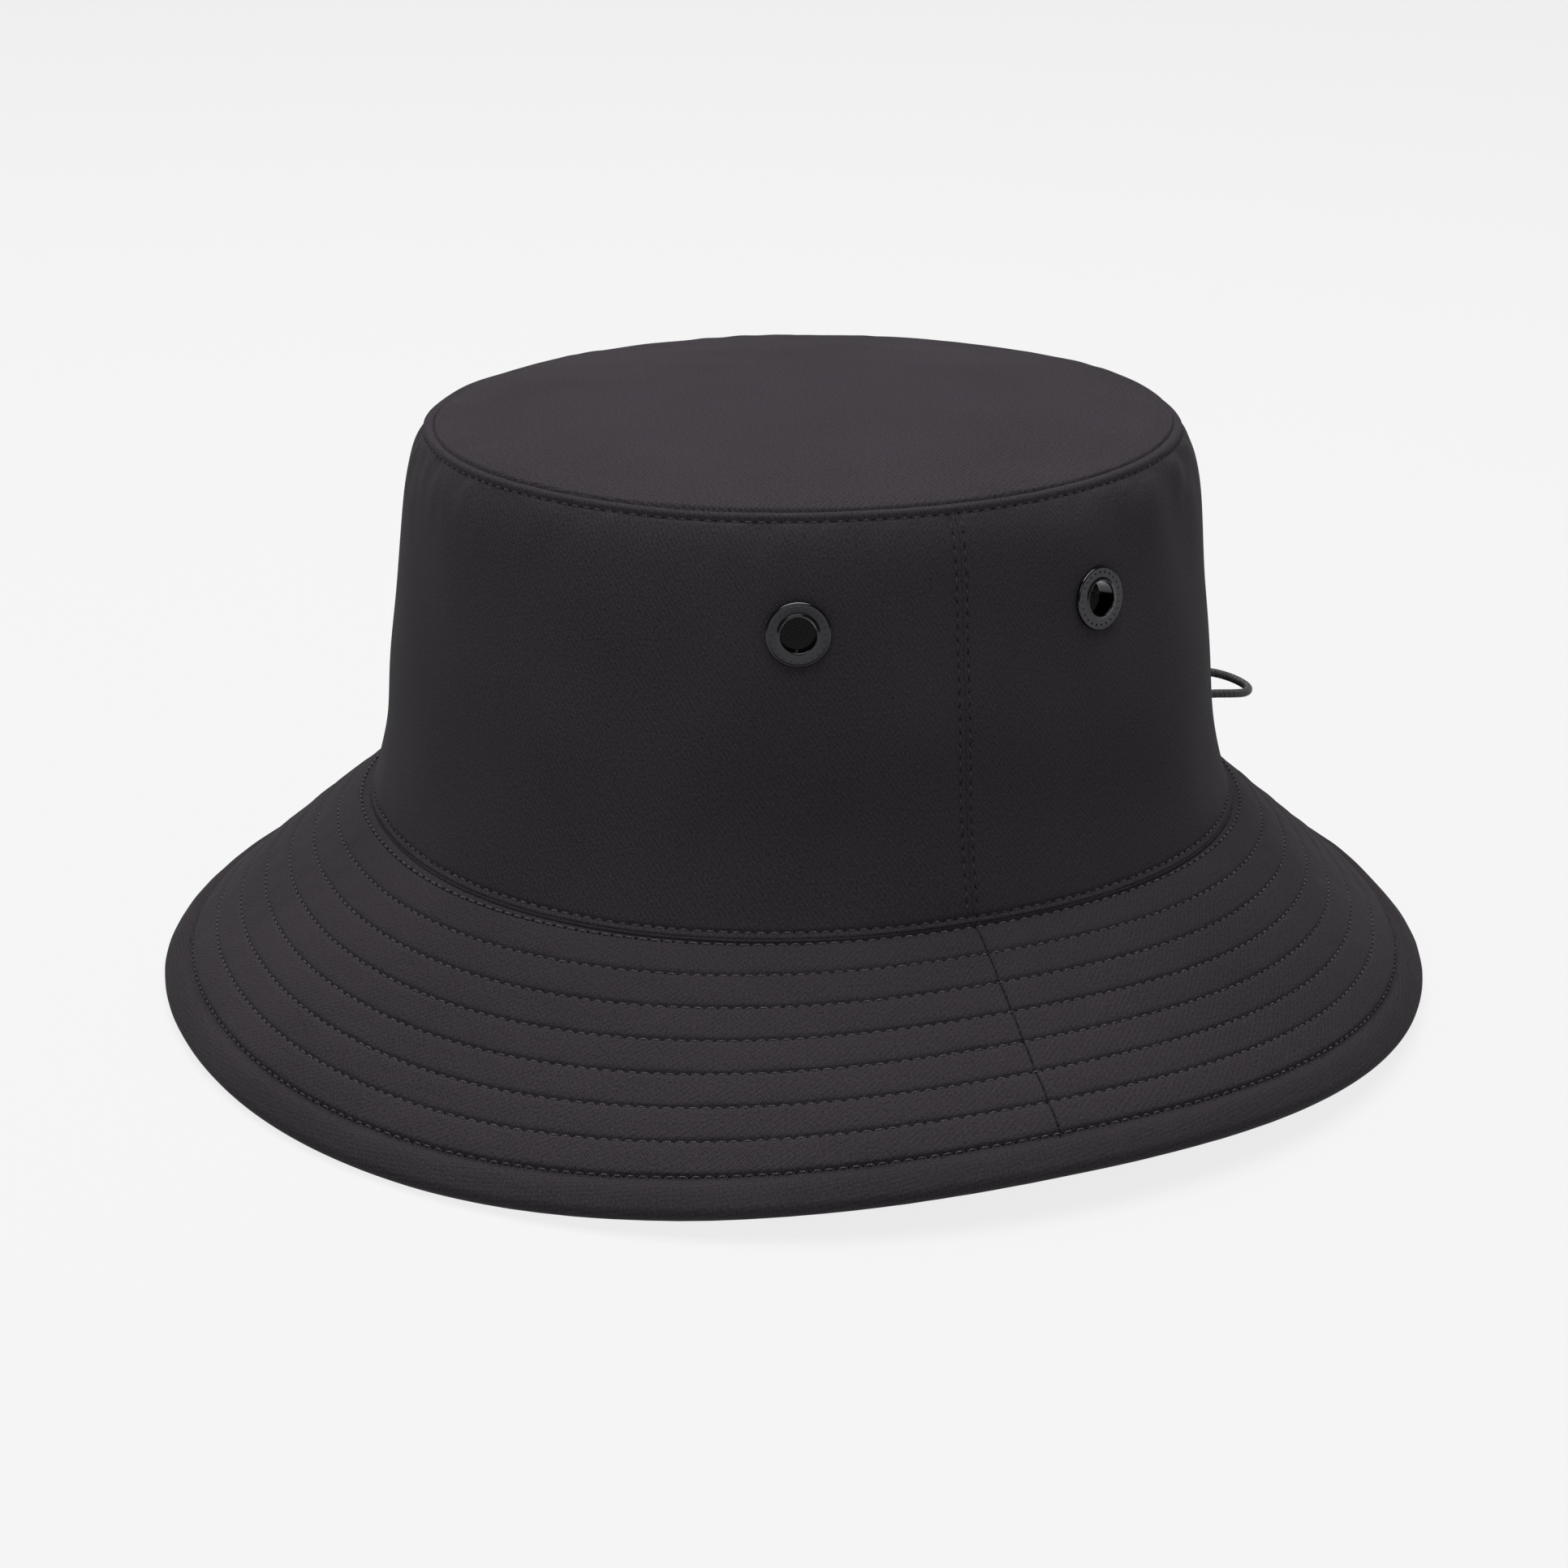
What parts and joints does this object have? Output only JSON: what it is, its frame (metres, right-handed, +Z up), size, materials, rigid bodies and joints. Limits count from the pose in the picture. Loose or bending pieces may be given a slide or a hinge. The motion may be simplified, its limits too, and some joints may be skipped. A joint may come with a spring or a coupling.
{
  "type": "bucket hat",
  "caption": "Bucket hat: domed tip, two-panel crown with metal air eyelets, quilted brim with rolled edge, sweatband and a sprung cord lock on an adjusting drawcord at the back.",
  "frame": {"origin": "centre of the hat's footprint at the height of the lowest point of the brim edge", "axes": "+Z up towards the tip, -Y the front of the hat, +X the wearer's left side"},
  "size_m": [0.2762, 0.2854, 0.1343],
  "materials": {
    "crown_cloth": "very dark charcoal woven microfibre, soft sheen",
    "brim_cloth": "very dark charcoal woven microfibre, quilted in rows",
    "binding_cloth": "very dark charcoal woven microfibre, rolled",
    "interlining": "off-white felted interlining, not seen",
    "mesh_lining": "black warp-knit mesh",
    "sweatband_cloth": "black twill tape, matt",
    "casing_cloth": "black woven tape, matt",
    "eyelet_metal": "smoky black-nickel plate, glossy",
    "elastic_cord": "black braided elastic",
    "lock_plastic": "black moulded nylon",
    "spring_steel": "bright spring wire"
  },
  "bodies": {
    "hat": {"brim_edge_binding": "binding_cloth", "brim_interlining_back": "interlining", "brim_interlining_front": "interlining", "brim_top_back": "brim_cloth", "brim_top_front": "brim_cloth", "brim_under_back": "brim_cloth", "brim_under_front": "brim_cloth", "cord_eyelet_left": "eyelet_metal", "cord_eyelet_right": "eyelet_metal", "crown_panel_back": "crown_cloth", "crown_panel_front": "crown_cloth", "drawcord": "elastic_cord", "drawcord_casing": "casing_cloth", "eyelet_left_back": "eyelet_metal", "eyelet_left_front": "eyelet_metal", "eyelet_right_back": "eyelet_metal", "eyelet_right_front": "eyelet_metal", "eyelet_washer_left_back": "eyelet_metal", "eyelet_washer_left_front": "eyelet_metal", "eyelet_washer_right_back": "eyelet_metal", "eyelet_washer_right_front": "eyelet_metal", "lining_tip": "mesh_lining", "lining_wall_back": "mesh_lining", "lining_wall_front": "mesh_lining", "sweatband": "sweatband_cloth", "tip_interlining": "interlining", "tip_panel": "crown_cloth"},
    "cord_lock": {"cord_lock_body": "lock_plastic", "cord_lock_spring": "spring_steel"},
    "lock_button": {"cord_lock_button": "lock_plastic"}
  },
  "joints": [
    {"name": "cord_lock_slide", "type": "slide", "parent": "hat", "child": "cord_lock", "axis": [0, 1, 0], "range_m": [0, 0.0035]},
    {"name": "lock_button_press", "type": "slide", "parent": "cord_lock", "child": "lock_button", "axis": [-0.342, 0, -0.9397], "range_m": [0, 0.0025], "stiffness_N_per_m": 300, "deforming": ["cord_lock_spring"]}
  ]
}
